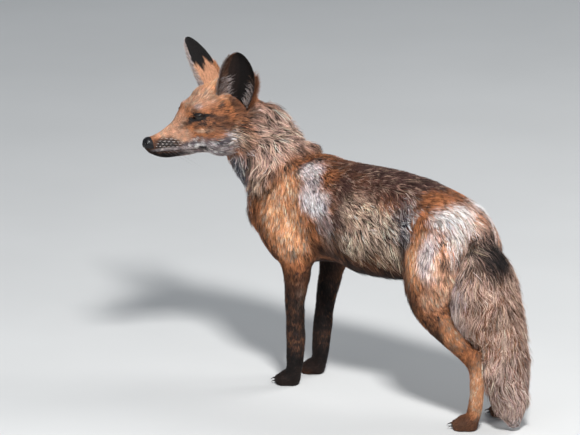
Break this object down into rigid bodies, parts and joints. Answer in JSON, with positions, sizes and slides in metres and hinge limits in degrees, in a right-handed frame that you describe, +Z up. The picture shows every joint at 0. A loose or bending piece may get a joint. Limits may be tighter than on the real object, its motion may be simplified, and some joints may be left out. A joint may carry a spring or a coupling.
{
  "type": "red fox model",
  "caption": "Life-size still model of a standing red fox in ragged moult, head turned to its left, tail hanging to the ground.",
  "frame": {"origin": "on the floor plane, at the middle of the bottom of the bounding box", "axes": "+Z up; -Y is the way the trunk faces, from the rump to the chest; +X is the fox's left, the side its head is turned to"},
  "size_m": [0.2786, 0.641, 0.5393],
  "materials": {
    "coat_rust": "rust-orange fur",
    "coat_saddle": "dark brown fur, greyed",
    "coat_buff": "buff winter fur with dark streaks",
    "coat_dark": "short black-brown fur",
    "coat_pale": "white to grey fur",
    "nose": "moist black nose leather",
    "eye": "amber glass eye"
  },
  "bodies": {
    "root": {"head": "coat_rust", "lower_jaw": "coat_pale", "nose": "nose", "eye_left": "eye", "eye_right": "eye", "ear_left": "coat_dark", "ear_right": "coat_dark", "neck": "coat_buff", "chest": "coat_rust", "back_and_belly": "coat_saddle", "rump": "coat_saddle", "upper_arm_left": "coat_rust", "upper_arm_right": "coat_rust", "forearm_left": "coat_dark", "forearm_right": "coat_dark", "forepaw_left": "coat_dark", "forepaw_right": "coat_dark", "thigh_left": "coat_rust", "thigh_right": "coat_rust", "shank_left": "coat_rust", "shank_right": "coat_rust", "metatarsus_left": "coat_rust", "metatarsus_right": "coat_rust", "hindpaw_left": "coat_dark", "hindpaw_right": "coat_dark", "tail_base": "coat_buff", "tail_middle": "coat_buff", "tail_tip": "coat_pale"}
  },
  "joints": []
}
